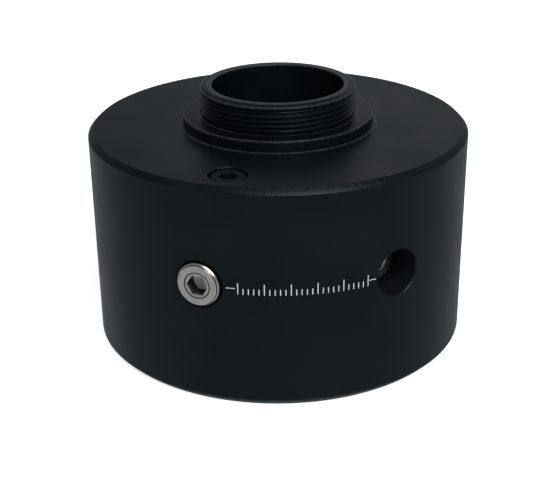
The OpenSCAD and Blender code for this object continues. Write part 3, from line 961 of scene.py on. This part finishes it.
def make_small_rings():
    shim = low("cell_shim"), high("cell_shim")
    ring_piece("cell_shim", [
        (11.5, shim[0]), (13.1, shim[0]), (13.1, shim[1]), (11.5, shim[1]),
    ], BRASS)
    spacer = low("lens_spacer"), high("lens_spacer")
    ring_piece("lens_spacer", [
        (9.2, spacer[0], 0.1), (LENS_R, spacer[0], 0.1), (LENS_R, spacer[1], 0.1), (9.2, spacer[1], 0.1),
    ], INNER_BLACK)
    stop = low("glare_stop"), high("glare_stop")
    ring_piece("glare_stop", [
        (CELL_R, stop[0]), (CELL_R, stop[1]), (9.0, stop[1]), (8.5, stop[0] + 0.08), (8.5, stop[0]),
    ], INNER_BLACK)


def make_retaining_ring():
    """The ring that holds the lenses, with a slot across it for a spanner."""
    bottom, top = low("lens_retaining_ring"), high("lens_retaining_ring")
    inner_r, slot_half, slot_depth = 8.8, 0.6, 0.7
    section = outline([(inner_r, bottom), (LENS_R, bottom, 0.1), (LENS_R, top, 0.15), (inner_r, top, 0.4)])
    ring = build("lens_retaining_ring_skin", revolve(section, FINE_COLUMNS))
    carve(ring, bar(-12, 12, -slot_half, slot_half, top - slot_depth, top + 1))
    place(ring, "lens_retaining_ring", "focus_tube", INNER_BLACK)


def make_grub_screws():
    grub_r, start, end = 0.78, CELL_R + 0.02, CELL_R + 1.82
    for index, side in enumerate((-1, 1)):
        corners = [(0, start), (grub_r, start, 0.15), (grub_r, end, 0.12), (0, end)]
        section = outline(corners, closed=False)
        grub = build(f"cell_grub_screw_{index}", revolve(section, 48, closed=False))
        carve(grub, hexagon(0.7, end - 0.72, CELL_R + 3))
        grub.matrix_world = outward(Vector((side, 0, 0)), CELL_GRUB_Z)
        grub.matrix_world.translation *= MM
        place(grub, "cell_grub_screws", "focus_tube", BLACK_OXIDE)


def make_guide_screw():
    start, end = reach("guide_screw", BACK_AXIS)
    thread_start, dog_r = 14.0, 0.8
    dog = revolve([
        (0, start), (dog_r - 0.1, start), (dog_r, start + 0.1), (dog_r, thread_start),
        (M25_ROOT, thread_start),
    ], 64, closed=False)
    thread = helix(thread_start, end - 0.2, M25_PITCH, M25_ROOT, M25_R, 64, 10)
    top = revolve([(M25_ROOT, end - 0.2), (M25_ROOT - 0.1, end), (0, end)], 64, closed=False)
    screw = build("guide_screw_skin", dog, thread, top, sharp=24)
    carve(screw, hexagon(1.3, end - 1.3, end + 1), 24)
    screw.matrix_world = outward(BACK_AXIS, high("guide_screw") - M25_HOLE)
    screw.matrix_world.translation *= MM
    place(screw, "guide_screw", "housing", BLACK_OXIDE)


make_barrel()
make_top_plate()
make_base_ring()
make_lock_screws()
make_plate_screws()
make_base_screws()
make_sleeve()
make_sleeve_ring()
make_optics()
make_cell()
make_small_rings()
make_retaining_ring()
make_grub_screws()
make_guide_screw()


# ---------------------------------------------------------------- stage, light and camera

def make_floor():
    mesh = bpy.data.meshes.new("floor")
    half, sunk = 3.0, 0.00003
    corners = [(-half, -half, 0), (half, -half, 0), (half, half, 0), (-half, half, 0)]
    mesh.from_pydata(corners, [], [(0, 1, 2, 3)])
    floor = bpy.data.objects.new("floor", mesh)
    floor.location.z = -sunk
    bpy.context.scene.collection.objects.link(floor)
    paint = bpy.data.materials.new("floor_white")
    paint.use_nodes = True
    shader = paint.node_tree.nodes["Principled BSDF"]
    shader.inputs["Base Color"].default_value = (0.9, 0.9, 0.9, 1)
    shader.inputs["Roughness"].default_value = 0.9
    shader.inputs["Specular IOR Level"].default_value = 0.0
    shader.inputs["Emission Color"].default_value = (1, 1, 1, 1)
    shader.inputs["Emission Strength"].default_value = 0.75
    mesh.materials.append(paint)
    floor.visible_glossy = False


def make_backdrop():
    """A plain white wall round the floor that only the camera sees, so that it adds no light."""
    columns, r, top = 64, 2.4, 2.4
    verts = [(x, y, z) for z in (-0.01, top) for x, y in circle_points(r, columns)]
    faces = [(i, (i + 1) % columns, (i + 1) % columns + columns, i + columns) for i in range(columns)]
    mesh = bpy.data.meshes.new("backdrop")
    mesh.from_pydata(verts, [], faces)
    wall = bpy.data.objects.new("backdrop", mesh)
    bpy.context.scene.collection.objects.link(wall)
    paper = bpy.data.materials.new("backdrop_white")
    paper.use_nodes = True
    shader = paper.node_tree.nodes["Principled BSDF"]
    shader.inputs["Base Color"].default_value = (0.9, 0.9, 0.9, 1)
    shader.inputs["Emission Color"].default_value = (1, 1, 1, 1)
    shader.inputs["Emission Strength"].default_value = 1.0
    mesh.materials.append(paper)
    wall.visible_diffuse = wall.visible_glossy = wall.visible_transmission = wall.visible_shadow = False


def make_light(name, place_mm, target_mm, size_mm, watts):
    """A rectangular area light aimed at a point."""
    data = bpy.data.lights.new(name, "AREA")
    data.shape = "RECTANGLE"
    data.size, data.size_y = size_mm[0] * MM, size_mm[1] * MM
    data.energy = watts
    light = bpy.data.objects.new(name, data)
    light.location = Vector(place_mm) * MM
    aim = Vector(target_mm) - Vector(place_mm)
    light.rotation_mode = "QUATERNION"
    light.rotation_quaternion = aim.to_track_quat("-Z", "Y")
    bpy.context.scene.collection.objects.link(light)
    return light


def make_world():
    """A cool grey studio, brighter below the horizon where the white table spreads."""
    world = bpy.data.worlds.new("studio")
    world.use_nodes = True
    nodes, links = world.node_tree.nodes, world.node_tree.links
    background = nodes["Background"]
    background.inputs["Color"].default_value = (0.88, 0.96, 1.0, 1)
    direction = nodes.new("ShaderNodeTexCoord").outputs["Generated"]
    parts = nodes.new("ShaderNodeSeparateXYZ")
    fade = nodes.new("ShaderNodeMapRange")
    for socket_name, value in (("From Min", -0.3), ("From Max", 0.3), ("To Min", 0.42), ("To Max", 0.2)):
        fade.inputs[socket_name].default_value = value
    links.new(direction, parts.inputs[0])
    links.new(parts.outputs["Z"], fade.inputs["Value"])
    links.new(fade.outputs[0], background.inputs["Strength"])
    bpy.context.scene.world = world


def make_studio():
    make_world()
    make_light("key", (199, -611, 790), (0, 0, 20), (540, 760), 8.6)
    make_light("back_panel", (500, 1000, 560), (0, 0, 30), (1100, 500), 0.35)
    bpy.context.scene.view_settings.view_transform = "Standard"


CAMERA_AZIMUTH = -6.25
CAMERA_DISTANCE, CAMERA_HEIGHT = 184.29, 96.665
CAMERA_PITCH_DOWN, CAMERA_YAW, CAMERA_ROLL = 24.693, -0.1506, -0.6453
CAMERA_LENS = 76.42


def make_camera():
    data = bpy.data.cameras.new("camera")
    data.lens, data.sensor_width = CAMERA_LENS, 36
    data.clip_start, data.clip_end = 0.01, 20
    camera = bpy.data.objects.new("camera", data)
    swing = Matrix.Rotation(math.radians(CAMERA_AZIMUTH), 4, "Z")
    place_at = swing @ Vector((0, -CAMERA_DISTANCE, CAMERA_HEIGHT)) * MM
    turn = swing @ Matrix.Rotation(math.radians(-CAMERA_YAW), 4, "Z")
    tilt = Matrix.Rotation(math.radians(90 - CAMERA_PITCH_DOWN), 4, "X")
    roll = Matrix.Rotation(math.radians(CAMERA_ROLL), 4, "Z")
    camera.matrix_world = Matrix.Translation(place_at) @ turn @ tilt @ roll
    bpy.context.scene.collection.objects.link(camera)
    bpy.context.scene.camera = camera


make_floor()
make_backdrop()
make_studio()
make_camera()
